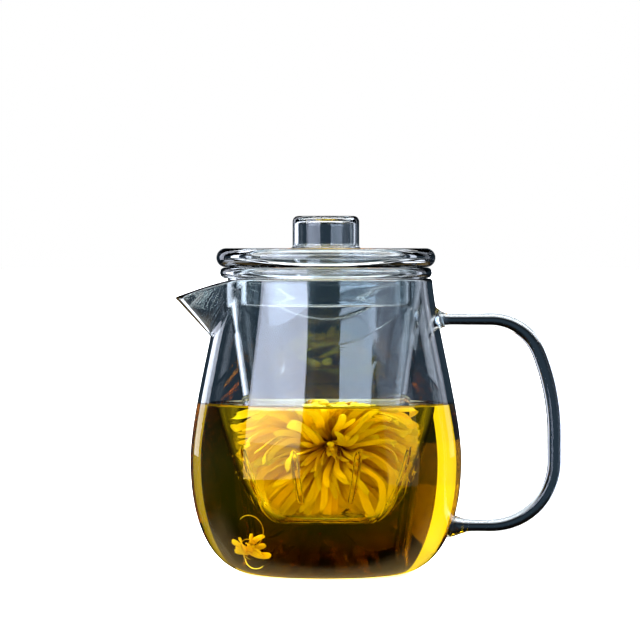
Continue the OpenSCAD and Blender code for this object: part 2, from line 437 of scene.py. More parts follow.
def add_piece(
    name: str,
    surface: Surface,
    body: Body,
    material: bpy.types.Material,
    replaced: tuple[str, ...] = (),
    attributes: dict[str, Array] | None = None,
    wetted: Callable[[Array], Array] | None = None,
) -> bpy.types.Object:
    """Makes a smooth-shaded piece that rides on a body.

    Args:
        name: the piece's name.
        surface: its shape.
        body: the loose part that it moves with.
        material: its finish.
        replaced: the solids that it stands for.
        attributes: numbers for its points that the material reads, by name.
        wetted: tells from the faces' centres which take the finishes for glass in tea and for glass with a
            painted yellow sheen, counted from 1.

    Returns:
        The piece's object.
    """
    mesh = bpy.data.meshes.new(name)
    mesh.from_pydata(surface.points, [], surface.faces)
    mesh.shade_smooth()
    mesh.materials.append(material)
    for key, values in (attributes or {}).items():
        numbers = mesh.attributes.new(key, "FLOAT", "POINT").data
        numbers.foreach_set("value", values.astype(np.float32))
    if wetted:
        centres = np.empty(3 * len(mesh.polygons), np.float32)
        mesh.polygons.foreach_get("center", centres)
        for finish in WET_GLASS_AND_PAINTED_SHEEN:
            known = bpy.data.materials.get(finish.name)
            mesh.materials.append(known or finish.material())
        mesh.polygons.foreach_set("material_index", wetted(centres.reshape(-1, 3)).astype(np.int32))
    piece = add_object(name, mesh)
    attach(piece, body.value)
    if replaced:
        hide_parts(*replaced)
    log.info("%s: %d points, %d faces, on %s", name, len(surface.points), len(surface.faces), body.value)
    return piece


# ---- The pot ----


@dataclass
class Pot:
    """The blown bulb with its neck, the beak drawn out of its mouth, and the tea's outer shape."""

    glass: bpy.types.Material
    radius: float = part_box("pot_body")[1].y
    mouth_z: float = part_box("pot_body")[1].z
    beak_reach: float = -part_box("pour_spout")[0].x
    beak_root_z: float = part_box("pour_spout")[0].z
    mouth_r: float = 41.3 * MM
    foot_r: float = 26 * MM
    bulb_z: float = 44 * MM
    bulb_wall: float = 1.9 * MM
    mouth_wall: float = 2.4 * MM
    beak_drop: float = 7.1 * MM
    beak_half_angle: float = 39.0
    beak_root_angle: float = 7.0
    beak_tip_angle: float = 3.0
    tea_level: float = 65.2 * MM
    foot_steer: float = 18 * MM  # how far out past the foot the bulb's curve heads
    bulb_steer_z: float = 18.5 * MM
    shoulder_steer_z: float = 62 * MM
    corners: int = 288
    neck_steer: Point = (1.2 * MM, 97 * MM)  # out from the mouth's edge, and its height

    def bulb(self) -> Array:
        """The outer profile of the bulb, from the edge of the flat base to the widest circle."""
        foot, r = self.foot_r, self.radius
        return bezier((foot, 0), (foot + self.foot_steer, 0), (r, self.bulb_steer_z), (r, self.bulb_z), 44)

    def neck(self) -> Array:
        """The outer profile from the widest circle to the start of the rounded lip."""
        r, m = self.radius, self.mouth_r
        lip_z = self.mouth_z - self.mouth_wall / 2
        steer = (m + self.neck_steer[0], self.neck_steer[1])
        return bezier((r, self.bulb_z), (r, self.shoulder_steer_z), steer, (m, lip_z), 60)

    def inside(self, sunk: float = 0.0) -> Array:
        """The inner profile from the floor's edge to the lip, moved by sunk into the glass."""
        bulb, neck = self.bulb(), self.neck()
        wall = np.linspace(self.bulb_wall, self.mouth_wall, len(neck))
        return chain(offset(bulb, self.bulb_wall - sunk), offset(neck, wall - sunk)[1:])

    def outside_at(self, z: Array) -> Array:
        """The outer radius at each height z."""
        profile = chain(self.bulb(), self.neck())
        return np.interp(z, profile[:, 1], profile[:, 0])

    def beak_share(self, angle: Array, height: Array) -> Array:
        """How far the beak stands out: (1 - soft|a| / soft(half width))^2.1, where the half width grows with
        the height in the beak, as height^0.6, and soft rounds the ridge.

        Args:
            angle: degrees from the ridge.
            height: 0 at the beak's root and 1 at the lip.

        Returns:
            0 at the beak's sides and 1 along its ridge.
        """

        def soft(a: Array) -> Array:
            """The angle with its corner at 0 rounded off."""
            return np.sqrt(a * a + self.beak_tip_angle**2) - self.beak_tip_angle

        half = self.beak_root_angle + (self.beak_half_angle - self.beak_root_angle) * height**0.6
        return np.clip(1 - soft(angle) / soft(half), 0, None) ** 2.1

    def with_beak(self, points: Array) -> Array:
        """Draws the beak out of the mouth: points move outwards in proportion to their height in it, and the
        lip drops towards the tip."""
        x, y, z = points[..., 0], points[..., 1], points[..., 2]
        r = np.hypot(x, y)
        angle = np.degrees(np.arctan2(np.abs(y), -x))
        height = np.clip((z - self.beak_root_z) / (self.mouth_z - self.beak_root_z), 0, 1)
        root_r = self.outside_at(np.array(self.beak_root_z))
        ridge = root_r + (self.beak_reach - root_r) * height
        pull = (ridge - self.outside_at(z)) * self.beak_share(angle, height) * (height > 0)
        grown = (r + pull) / np.maximum(r, 1e-9)
        drop = self.beak_drop * height * self.beak_share(angle, np.ones_like(height))
        return np.stack([x * grown, y * grown, z - drop * (r > self.mouth_r / 2)], -1)

    def shell(self) -> Surface:
        """The whole wall of glass, inside and out, closed at both poles of its floor."""
        lip_z = self.mouth_z - self.mouth_wall / 2
        lip = arc((self.mouth_r - self.mouth_wall / 2, lip_z), self.mouth_wall / 2, 0, 180, 14)
        inside = self.inside()[::-1]
        profile = chain(
            line((0, 0), (self.foot_r, 0)),
            self.bulb(),
            self.neck(),
            lip,
            inside[1:],
            line((self.foot_r, self.bulb_wall), (0, self.bulb_wall)),
        )
        return closed_grid(self.with_beak(turned(profile[1:-1], self.corners))).facing()

    def wetted(self, centres: Array) -> Array:
        """Tells from the faces' centres which lie in the tea, 1, and which only have it behind them, 2,
        where the glass gets a painted yellow sheen on its reflections.
        """
        inner = np.hypot(centres[:, 0], centres[:, 1]) < self.outside_at(centres[:, 2]) - self.bulb_wall / 2
        inner &= centres[:, 2] > self.bulb_wall / 2
        return np.where(centres[:, 2] < self.tea_level, np.where(inner, 1, 2), 0)

    def build(self) -> None:
        """Adds the pot's shell."""
        nodes = ("pot_body", "pour_spout")
        add_piece("pot_shell", self.shell(), Body.POT, self.glass, nodes, wetted=self.wetted)


@dataclass
class Handle:
    """The bent rod and the two gathers of glass that weld it to the pot."""

    glass: bpy.types.Material
    pot: Pot
    top_z: float = 98.4 * MM
    grip_r: float = 3.0 * MM
    end_r: float = 2.35 * MM
    shoulder_r: float = 20 * MM
    shoulder_turn: float = 68.0
    grip_bend_r: float = 85 * MM
    heel_r: float = 25 * MM
    heel_drop: float = 10.5 * MM
    shoulder_x: float = 64 * MM
    upper_weld_x: float = 39.5 * MM
    lower_weld_x: float = 47.0 * MM
    upper_spread: float = 4.6 * MM  # how much thicker the rod is at the weld
    upper_reach: float = 4.2 * MM  # how far along the rod that spreads
    lower_spread: float = 2.4 * MM
    lower_reach: float = 5.2 * MM
    sunk: float = 0.35 * MM
    corners: int = 40

    def centreline(self) -> Array:
        """The rod's line in X and Z: out of the upper weld, over the shoulder, down the grip, round the heel
        and back. Each bend is an arc that starts where the one before it ends."""
        shoulder = np.array([self.shoulder_x, self.top_z - self.shoulder_r])
        turn = math.radians(self.shoulder_turn)
        way = np.array([math.sin(turn), math.cos(turn)])
        grip = shoulder + (self.shoulder_r - self.grip_bend_r) * way
        heel = np.array([grip[0] + self.grip_bend_r - self.heel_r, grip[1] - self.heel_drop])
        return chain(
            line((self.upper_weld_x, self.top_z), (self.shoulder_x, self.top_z), 44),
            arc(tuple(shoulder), self.shoulder_r, 90, 90 - self.shoulder_turn, 26),
            arc(tuple(grip), self.grip_bend_r, 90 - self.shoulder_turn, 0, 26),
            line((heel[0] + self.heel_r, grip[1]), (heel[0] + self.heel_r, heel[1]), 8),
            arc(tuple(heel), self.heel_r, 0, -90, 36),
            line((heel[0], heel[1] - self.heel_r), (self.lower_weld_x, heel[1] - self.heel_r), 26),
        )

    def surface(self) -> Surface:
        """A round tube along the line, thickest at the grip, that ends just inside the pot's wall. It flares
        by spread * e^(-(d / reach)^2) at a distance d from its end."""
        path = self.centreline()
        way = directions(path)
        length = np.r_[0, np.cumsum(np.linalg.norm(np.diff(path, axis=0), axis=1))]
        share = length / length[-1]
        radius = self.end_r + (self.grip_r - self.end_r) * np.sin(np.pi * share)
        radius += self.upper_spread * np.exp(-((length / self.upper_reach) ** 2))
        radius += self.lower_spread * np.exp(-(((length[-1] - length) / self.lower_reach) ** 2))
        a = round_angles(self.corners)
        normal = np.stack([-way[:, 1], way[:, 0]], 1)
        across = radius[:, None] * np.cos(a)
        x, z = path[:, :1] + across * normal[:, :1], path[:, 1:] + across * normal[:, 1:]
        points = np.stack([x, radius[:, None] * np.sin(a), z], -1)
        x, y, z = points[..., 0], points[..., 1], points[..., 2]
        wall_x = np.sqrt(self.pot.outside_at(z) ** 2 - y**2) - self.sunk
        points[..., 0] = np.maximum(x, wall_x)
        return closed_grid(points).facing()

    def build(self) -> None:
        """Adds the handle."""
        nodes = ("handle_rod", "upper_handle_weld", "lower_handle_weld")
        add_piece("handle", self.surface(), Body.POT, self.glass, nodes)


# ---- The infuser and the lid ----


@dataclass
class Infuser:
    """The glass cup with its rolled rim and straining slots."""

    glass: bpy.types.Material
    tea_level: float
    floor_z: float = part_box("infuser_cup")[0].z
    rim_z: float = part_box("infuser_rim")[0].z
    rim_top_z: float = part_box("infuser_rim")[1].z
    rim_r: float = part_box("infuser_rim")[1].y
    cup_r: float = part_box("infuser_cup")[1].y
    wall: float = 1.8 * MM
    floor_r: float = 12 * MM
    knee: Point = (31.8 * MM, 62 * MM)
    edge_round: float = 1.5 * MM
    slot_count: int = 8
    slot_width: float = 1.6 * MM
    slot_taper: Spot = (0.45, 0.8, 1.0)  # a slot's share of its width at its end and the next two rows
    slot_low_z: float = 29.5 * MM
    slot_high_z: float = 48 * MM
    slot_sector: int = 30  # corners of the turned cup to each slot
    floor_steer_r: float = 22.8 * MM
    knee_below: Point = (2.2 * MM, 15.5 * MM)  # how far in and down from the knee the bowl's curve heads
    knee_above: Point = (1.7 * MM, 12 * MM)  # how far out and up the side's curve heads
    rim_steer: Point = (0.7 * MM, 100 * MM)  # in from the rim, and its height
    throat_gap: float = 0.2 * MM
    rim_gap: float = 0.3 * MM

    def bowl(self) -> Array:
        """The outer profile of the bowl, from the floor's edge up to the knee."""
        x, z = self.knee
        end_steer = (x - self.knee_below[0], z - self.knee_below[1])
        start, start_steer = (self.floor_r, self.floor_z), (self.floor_steer_r, self.floor_z)
        return bezier(start, start_steer, end_steer, (x, z), 48)

    def side(self) -> Array:
        """The outer profile from the knee up to the rim."""
        x, z = self.knee
        start_steer = (x + self.knee_above[0], z + self.knee_above[1])
        end_steer = (self.cup_r - self.rim_steer[0], self.rim_steer[1])
        return bezier((x, z), start_steer, end_steer, (self.cup_r, self.rim_z), 30)

    def inside(self) -> Array:
        """The inner profile from the floor's edge up to the rim."""
        return offset(chain(self.bowl(), self.side()), self.wall)

    def inside_at(self, z: Array) -> Array:
        """The inner radius at each height z."""
        profile = self.inside()
        return np.interp(z, profile[:, 1], profile[:, 0])

    def surface(self) -> Surface:
        """The cup turned from its profile. At each slot the faces of both walls are left out, and quads
        across the wall's thickness close the slot's edge."""
        half = (self.rim_top_z - self.rim_z) / 2
        bead = arc((self.rim_r - half, self.rim_z + half), half, -90, 90, 18)
        inner_r = self.cup_r - self.wall - self.throat_gap
        corner = (inner_r + self.edge_round, self.rim_top_z - self.edge_round)
        top = self.floor_z + self.wall
        outer = chain(line((0, self.floor_z), (self.floor_r, self.floor_z)), self.bowl(), self.side())
        inner = chain(line((0, top), (self.floor_r, top)), self.inside())
        rim = chain(
            line((self.cup_r + self.rim_gap, self.rim_z), (self.rim_r - half, self.rim_z), 3),
            bead,
            line((self.rim_r - half, self.rim_top_z), (corner[0], self.rim_top_z), 3),
            arc(corner, self.edge_round, 90, 180, 8),
        )
        profile = np.vstack([outer, rim, inner[::-1]])
        return self.slotted(profile[1:-1], len(outer) - 1, len(inner) - 1)

    def slotted(self, profile: Array, outer: int, inner: int) -> Surface:
        """Turns the profile and cuts the slots.

        Args:
            profile: the cup's profile, without its two points on the axis.
            outer: how many of its points, from the first, are on the outer wall.
            inner: how many of its points, up to the last, are on the inner wall.

        Returns:
            The slotted cup.
        """
        per_slot = self.slot_sector
        corners = per_slot * self.slot_count
        last = len(profile) - 1
        low = np.searchsorted(profile[:outer, 1], self.slot_low_z)
        high = np.searchsorted(profile[:outer, 1], self.slot_high_z)
        row_outer = np.arange(low, high + 1)
        row_inner = last - row_outer
        place = np.arange(corners)
        in_sector = place % per_slot - per_slot // 2
        angle = np.tile(2 * np.pi * place / corners, (last + 1, 1))
        for rows in (row_outer, row_inner):
            ends = np.minimum(np.arange(len(rows)), np.arange(len(rows))[::-1])
            rounding = np.array(self.slot_taper)[np.minimum(ends, 2)]
            half_angle = self.slot_width / 2 * rounding / profile[rows, 0]
            spread = np.tile(2 * np.pi * in_sector / corners, (len(rows), 1))
            edge = np.abs(in_sector) == 1
            spread[:, edge] = np.sign(in_sector[edge]) * half_angle[:, None]
            centre = 2 * np.pi * (place // per_slot * per_slot + per_slot // 2) / corners
            angle[rows] = centre + spread
        r, z = profile[:, :1], profile[:, 1:]
        points = np.stack([r * np.cos(angle), r * np.sin(angle), z + 0 * angle], -1)
        keep = np.ones((last, corners), bool)
        cut = (in_sector == -1) | (in_sector == 0)
        keep[low:high, cut] = False
        keep[last - high : last - low, cut] = False
        cup = closed_grid(points, keep)
        cup.faces += self.slot_walls(corners, in_sector, row_outer, row_inner)
        return cup.facing()

    def slot_walls(self, corners: int, in_sector: Array, outer: Array, inner: Array) -> list[list[int]]:
        """Quads from the outer wall to the inner wall round each slot's edge."""
        walls = []
        rows = range(len(outer))
        for centre in np.flatnonzero(in_sector == 0):
            loop = [(row, centre - 1) for row in rows] + [(rows[-1], centre)]
            loop += [(row, centre + 1) for row in reversed(rows)] + [(0, centre)]
            out = [int(outer[row] * corners + column) for row, column in loop]
            into = [int(inner[row] * corners + column) for row, column in loop]
            walls += zip(out, out[1:] + out[:1], into[1:] + into[:1], into)
        return [list(wall) for wall in walls]

    def wetted(self, centres: Array) -> Array:
        """Tells from the faces' centres which lie in the tea: 1, or else 0."""
        return centres[:, 2] < self.tea_level

    def build(self) -> None:
        """Adds the infuser."""
        nodes = ("infuser_cup", "infuser_rim")
        add_piece("infuser_glass", self.surface(), Body.INFUSER, self.glass, nodes, wetted=self.wetted)


@dataclass
class Lid:
    """The flat lid with its rolled edge, the ring that centres it and the hollow knob."""

    glass: bpy.types.Material
    top_z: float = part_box("lid_plate")[1].z
    bead_low_z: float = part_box("lid_plate")[0].z
    radius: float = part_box("lid_plate")[1].y
    skirt_low_z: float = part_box("lid_skirt")[0].z
    knob_top_z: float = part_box("lid_knob")[1].z
    plate: float = 2.6 * MM
    skirt_r: float = 33.3 * MM
    skirt_wall: float = 2.0 * MM
    knob_r: float = 12.9 * MM
    knob_wall: float = 2.0 * MM
    knob_round: float = 2.2 * MM
    knob_foot: float = 1.0 * MM
    cove_out: float = 5.4 * MM
    cove_down: float = 7.1 * MM
    cove_steer: float = 1.8 * MM
    fillet: float = 1.2 * MM
    bubble_round: float = 1.0 * MM
    bubble_lift: float = 0.2 * MM

    def cove(self) -> Array:
        """The hollow curve from the rolled edge's underside down onto the skirt's outside."""
        r, z = self.skirt_r, self.bead_low_z
        start, end = (r + self.cove_out, z), (r, z - self.cove_down)
        return bezier(start, (r + self.cove_steer, z), (r, z - self.cove_steer), end, 16)

    def outer(self) -> Surface:
        """Everything but the knob's hollow, as one solid of revolution."""
        half = (self.top_z - self.bead_low_z) / 2
        bead = (self.radius - half, self.top_z - half)
        round_at = (self.knob_r - self.knob_round, self.knob_top_z - self.knob_round)
        foot_at = (self.knob_r + self.knob_foot, self.top_z + self.knob_foot)
        skirt_mid = (self.skirt_r - self.skirt_wall / 2, self.skirt_low_z + self.skirt_wall / 2)
        skirt_in = self.skirt_r - self.skirt_wall
        under_z = self.top_z - self.plate
        soft = self.fillet
        profile = chain(
            line((0, self.knob_top_z), (round_at[0], self.knob_top_z), 8),
            arc(round_at, self.knob_round, 90, 0, 12),
            line((self.knob_r, round_at[1]), (self.knob_r, foot_at[1]), 8),
            arc(foot_at, self.knob_foot, 180, 270, 8),
            line((foot_at[0], self.top_z), (bead[0], self.top_z), 14),
            arc(bead, half, 90, -90, 40),
            self.cove(),
            line((self.skirt_r, self.bead_low_z - self.cove_down), (self.skirt_r, skirt_mid[1]), 6),
            arc(skirt_mid, self.skirt_wall / 2, 0, -180, 14),
            line((skirt_in, skirt_mid[1]), (skirt_in, under_z - soft), 10),
            arc((skirt_in - soft, under_z - soft), soft, 0, 90, 6),
            line((skirt_in - soft, under_z), (0, under_z), 14),
        )
        return revolved(profile)

    def hollow(self) -> Surface:
        """The air inside the knob, facing inwards because it is a bubble in the glass."""
        r = self.knob_r - self.knob_wall
        low, high = self.top_z + self.bubble_lift, self.knob_top_z - self.knob_wall
        soft = self.bubble_round
        profile = chain(
            line((0, high), (r - soft, high), 8),
            arc((r - soft, high - soft), soft, 90, 0, 8),
            line((r, high - soft), (r, low + soft), 8),
            arc((r - soft, low + soft), soft, 0, -90, 8),
            line((r - soft, low), (0, low), 8),
        )
        return revolved(profile).facing(outwards=False)

    def build(self) -> None:
        """Adds the lid."""
        nodes = ("lid_plate", "lid_skirt", "lid_knob")
        add_piece("lid_glass", self.outer().joined(self.hollow()), Body.LID, self.glass, nodes)


# ---- Tea and flower ----


@dataclass
class Tea:
    """The tea in the pot, as one closed body that wets the glass."""

    water: bpy.types.Material
    pot: Pot
    sunk: float = 0.3 * MM  # how far it reaches into the wall, so that no air shows between
    meniscus: float = 1.3 * MM
    meniscus_reach: float = 1.1 * MM
    edge_gap: float = 0.2 * MM

    def surface(self) -> Surface:
        """The pot's inside up to the level, and a top that climbs the wall by meniscus * e^(-d / reach) at a
        distance d from it."""
        wall = self.pot.inside(self.sunk)
        edge_z = self.pot.tea_level + self.meniscus
        below = wall[wall[:, 1] < edge_z - self.edge_gap]
        edge_r = float(np.interp(edge_z, wall[:, 1], wall[:, 0]))
        distance = edge_r * np.linspace(0, 1, 60) ** 2.4
        height = self.pot.tea_level + self.meniscus * np.exp(-distance / self.meniscus_reach)
        top = np.stack([edge_r - distance, height], 1)
        floor_z = self.pot.bulb_wall - self.sunk
        return revolved(chain(line((0, floor_z), (self.pot.foot_r, floor_z)), below, top))

    def build(self) -> None:
        """Adds the tea."""
        add_piece("tea", self.surface(), Body.POT, self.water)


@dataclass(frozen=True)
class Whorl:
    """One ring of petals: how many, how they leave the heart and how they curl, in degrees and metres."""

    count: int
    tilt: float
    curl: float
    length: float
    width: float
    spread: float = 11.0


@dataclass
class Chrysanthemum:
    """A soaked flower that fills the infuser's bowl and faces down and forward, with an open heart whose
    dark brown is partly painted shade.
    """

    petal: bpy.types.Material
    heart: bpy.types.Material
    infuser: Infuser
    centre: Spot = (2.0 * MM, -7.0 * MM, 49.0 * MM)
    facing: Spot = (0.05, -0.86, -0.5)
    seed: int = 11
    whorls: tuple[Whorl, ...] = (
        Whorl(16, 28, 25, 11 * MM, 1.7 * MM),
        Whorl(26, 45, 45, 18 * MM, 2.1 * MM),
        Whorl(34, 62, 55, 26 * MM, 2.5 * MM),
        Whorl(44, 80, 50, 33 * MM, 2.8 * MM),
        Whorl(50, 98, 35, 38 * MM, 2.9 * MM),
        Whorl(50, 114, 25, 40 * MM, 3.0 * MM),
        Whorl(40, 132, 5, 36 * MM, 3.0 * MM),
    )
    stations: int = 20
    corners: int = 10
    thickness: float = 0.32 * MM
    longer: Point = (0.72, 1.14)  # petals' lengths, as shares of their whorl's
    wider: Point = (0.85, 1.15)
    tones: Point = (0.82, 1.12)
    swayed: float = 0.22
    twisted: float = 0.5
    channels: Point = (0.15, 0.4)  # how deep petals are channelled, as shares of their half width
    heart_r: float = 1.8 * MM
    core_r: float = 3.0 * MM
    core_ripple: float = 0.12
    sag: float = 11.0  # metres dropped for each square metre of length
    eddy: float = 27 * MM
    drift_by: float = 2.2 * MM
    loose_count: int = 9
    fallen_count: int = 16
    strand_count: int = 3
    fallen_at: Spot = (-26 * MM, -22 * MM, 13 * MM)
    clearance: float = 0.6 * MM
    under_tea: float = 0.5 * MM
    over_floor: float = 0.4 * MM
    over_tea: float = 0.25 * MM
    off_wall: float = 1.5 * MM
    petal_half: float = 1.1  # half widths of what fell, in mm
    strand_half: float = 0.13

    def axes(self) -> tuple[Array, Array, Array]:
        """The flower's axis and two directions across it."""
        axis = np.array(self.facing) / np.linalg.norm(self.facing)
        side = np.cross(axis, (0, 0, 1.0))
        side /= np.linalg.norm(side)
        return axis, side, np.cross(side, axis)

    def held_in(self, points: Array) -> Array:
        """Presses points that would leave the bowl back onto its wall, floor and the tea's surface."""
        x, y, z = points[..., 0], points[..., 1], points[..., 2]
        top = self.infuser.tea_level - self.under_tea
        z = top - self.soft_limit(top - z, 3 * MM)
        floor = self.infuser.floor_z + self.infuser.wall + self.over_floor
        z = floor + self.soft_limit(z - floor, 2 * MM)
        room = self.infuser.inside_at(z) - self.clearance
        r = np.hypot(x, y)
        held = room - self.soft_limit(room - r, 2 * MM)
        scale = held / np.maximum(r, 1e-9)
        return np.stack([x * scale, y * scale, z], -1)

    @staticmethod
    def soft_limit(gap: Array, soft: float) -> Array:
        """Keeps a gap above 0: unchanged where it is more than soft, and soft * e^(gap / soft - 1) below."""
        return np.where(gap > soft, gap, soft * np.exp(np.minimum(gap, soft) / soft - 1))

    def drift(self, points: Array) -> Array:
        """The slow eddies that petals lie along: on each axis a sum of two sines of the place across it, so
        that neighbours drift together into locks."""
        slow = 2 * np.pi * (points[..., [1, 2, 0]] / self.eddy)
        quick = 2 * np.pi * (points[..., [2, 0, 1]] / (0.6 * self.eddy))
        return self.drift_by * (np.sin(slow + (0.4, 2.1, 4.4)) + 0.25 * np.sin(quick + (1, 3, 5)))

    def whorl_petals(self, whorl: Whorl, rng: np.random.Generator) -> tuple[Array, Array]:
        """The centrelines and half widths of one whorl's petals.

        A petal starts at the heart and runs along cos(b) axis + sin(b) outwards, where the angle b grows
        from tilt by curl * t^1.6; it sags by its length squared, and is then held in the bowl.

        Args:
            whorl: the ring of petals.
            rng: draws each petal's small differences.

        Returns:
            Points of shape petals by stations by 3, and each petal's half width along it.
        """
        n, s = whorl.count, self.stations
        axis, side, up = self.axes()
        turn = 2 * np.pi * (np.arange(n) + rng.uniform(-0.35, 0.35, n)) / n + rng.uniform(0, 6.28)
        out = np.cos(turn)[:, None] * side + np.sin(turn)[:, None] * up
        t = np.linspace(0, 1, s)
        tilt = whorl.tilt + rng.normal(0, whorl.spread, n)
        curl = whorl.curl + rng.normal(0, 2.4 * whorl.spread, n)
        b = np.radians(tilt[:, None] + curl[:, None] * t**1.6)
        length = whorl.length * rng.uniform(*self.longer, n)
        step = np.cos(b)[..., None] * axis + np.sin(b)[..., None] * out[:, None]
        sway = rng.normal(0, self.swayed, n)[:, None, None] * t[None, :, None] ** 2
        step = step + sway * np.cross(axis, out)[:, None]
        run = np.cumsum(step, axis=1) * (length / s)[:, None, None]
        points = np.array(self.centre) + self.heart_r * out[:, None] + run
        points[..., 2] -= (t * length[:, None]) ** 2 * self.sag
        points += self.drift(points) * smooth(t * 1.4)[:, None]
        widen = 0.3 + 0.7 * smooth(t / 0.62)
        blunt = np.sqrt(np.clip(1 - (np.clip(t - 0.8, 0, 1) / 0.202) ** 2, 0, 1))
        width = whorl.width * rng.uniform(*self.wider, n)[:, None] * widen * blunt / 2
        return self.held_in(points), width

    def petals(self, lines: Array, half: Array, rng: np.random.Generator) -> tuple[Surface, dict]:
        """Flat closed tubes along the petals' centrelines, channelled across: a corner at angle c is at
        half width * cos(c) to the side and thickness * sin(c) + depth * cos(c)^2 above.

        Args:
            lines: centrelines, petals by stations by 3.
            half: half widths, petals by stations.
            rng: draws each petal's twist and tone.

        Returns:
            The surface, and for its points how far along and across the petal they are and its tone.
        """
        n, s = half.shape
        way = np.gradient(lines, axis=1)
        way /= np.linalg.norm(way, axis=2, keepdims=True) + 1e-12
        from_heart = lines - np.array(self.centre)
        across = np.cross(self.axes()[0], from_heart)
        across -= (across * way).sum(2, keepdims=True) * way
        across /= np.linalg.norm(across, axis=2, keepdims=True) + 1e-12
        above = np.cross(way, across)
        twist = (rng.normal(0, self.twisted, n)[:, None] * np.linspace(0, 1, s) ** 1.5)[..., None]
        across, above = (
            np.cos(twist) * across + np.sin(twist) * above,
            np.cos(twist) * above - np.sin(twist) * across,
        )
        c = round_angles(self.corners)
        depth = rng.uniform(*self.channels, n)[:, None, None]
        sideways = half[..., None] * np.cos(c)
        thick = self.thickness / 2 * np.clip(half / half.max(1, keepdims=True), 0.25, 1)[..., None]
        upwards = thick * np.sin(c) + depth * half[..., None] * np.cos(c) ** 2
        points = lines[:, :, None] + sideways[..., None] * across[:, :, None]
        points += upwards[..., None] * above[:, :, None]
        tube = closed_grid(points[0]).faces
        size = s * self.corners + 2
        faces = [[k + i * size for k in f] for i in range(n) for f in tube]
        poles = np.stack([points[:, 0].mean(1), points[:, -1].mean(1)], 1)
        every = np.concatenate([points.reshape(n, -1, 3), poles], 1).reshape(-1, 3)
        along = np.tile(np.linspace(0, 1, s)[:, None], (1, self.corners)).reshape(-1)
        over = np.tile(np.cos(c), s)
        attributes = {
            "along": np.tile(np.r_[along, 0, 1], n),
            "across": np.tile(np.r_[over, 0, 0], n),
            "tone": np.repeat(rng.uniform(*self.tones, n), size),
        }
        return Surface(every, faces).facing(), attributes

    def core(self) -> Surface:
        """The heart: a flattened ball whose radius ripples round and along it."""
        u = np.linspace(0.05, np.pi - 0.05, 24)[:, None]
        v = round_angles(40)
        r = self.core_r * (1 + self.core_ripple * np.sin(9 * v) * np.sin(7 * u))
        axis, side, up = self.axes()
        points = (
            np.array(self.centre)
            + (r * np.sin(u) * np.cos(v))[..., None] * side
            + (r * np.sin(u) * np.sin(v))[..., None] * up
            + (0.8 * r * np.cos(u) + 0 * v)[..., None] * axis
        )
        return closed_grid(points).facing()

    def floating(self, rng: np.random.Generator) -> tuple[Array, Array]:
        """The centrelines and half widths of a few loose petals that lie on the tea inside the infuser."""
        n, s = self.loose_count, self.stations
        t = np.linspace(-1, 1, s)
        place = np.radians(rng.uniform(-60, 120, n))
        far = rng.uniform(8 * MM, 24 * MM, n)
        heading = rng.uniform(0, 2 * np.pi, n)
        bend = heading[:, None] + rng.normal(0, 0.8, n)[:, None] * t
        step = np.stack([np.cos(bend), np.sin(bend)], -1) * (rng.uniform(9, 15, n) * MM / s)[:, None, None]
        flat = np.stack([far * np.cos(place), far * np.sin(place)], -1)[:, None] + np.cumsum(step, 1)
        lift = self.infuser.tea_level + self.over_tea + rng.uniform(0, 1.2 * MM, n)[:, None] * np.abs(t) ** 3
        lines = np.concatenate([flat, lift[..., None]], 2)
        room = self.infuser.inside_at(np.array(self.infuser.tea_level)) - self.off_wall
        r = np.hypot(lines[..., 0], lines[..., 1])
        lines[..., :2] *= (np.minimum(r, room) / r)[..., None]
        half = rng.uniform(1.0, 1.6, n)[:, None] * MM * np.sqrt(np.clip(1 - (np.abs(t) / 1.02) ** 4, 0, 1))
        return lines, half

    def fallen(self, rng: np.random.Generator) -> tuple[Array, Array]:
        """The centrelines and half widths of a scrap of the flower low in the pot: short petals, and
        hair-thin strands that loop."""
        n, strands, s = self.fallen_count, self.strand_count, self.stations
        t = np.linspace(0, 1, s)
        turn = rng.uniform(-0.5, 3.6, n + strands)
        curl = np.r_[rng.normal(0, 0.8, n), rng.uniform(3.5, 5.0, strands)]
        a = turn[:, None] + curl[:, None] * t
        length = np.r_[rng.uniform(4, 8, n), rng.uniform(16, 24, strands)] * MM
        slope = rng.normal(0, 0.35, n + strands)[:, None] * np.ones(s)
        step = np.stack([np.cos(a), slope, np.sin(a)], -1) * (length / s)[:, None, None]
        start = np.array(self.fallen_at) + rng.normal(0, 1.3 * MM, (n + strands, 1, 3))
        widest = np.r_[np.full(n, self.petal_half), np.full(strands, self.strand_half)]
        half = np.sqrt(np.clip(1 - (2 * t - 1) ** 4, 0.02, 1)) * widest[:, None]
        return start + np.cumsum(step, 1), half * MM

    def build(self) -> None:
        """Adds the petals, whorl by whorl, the heart and the loose petals."""
        rng = np.random.default_rng(self.seed)
        for number, whorl in enumerate(self.whorls, 1):
            lines, half = self.whorl_petals(whorl, rng)
            surface, attributes = self.petals(lines, half, rng)
            add_piece(f"petals_whorl_{number}", surface, Body.INFUSER, self.petal, attributes=attributes)
        surface, attributes = self.petals(*self.floating(rng), rng)
        add_piece("petals_loose", surface, Body.INFUSER, self.petal, attributes=attributes)
        surface, attributes = self.petals(*self.fallen(rng), rng)
        # the fallen scrap takes only the ramp's browner lower end: its own orange, with painted shade from
        # deep in the pot
        attributes["along"] = 0.1 + 0.3 * attributes["along"]
        add_piece("petals_fallen", surface, Body.POT, self.petal, attributes=attributes)
        add_piece("flower_heart", self.core(), Body.INFUSER, self.heart)


# ---- The studio ----


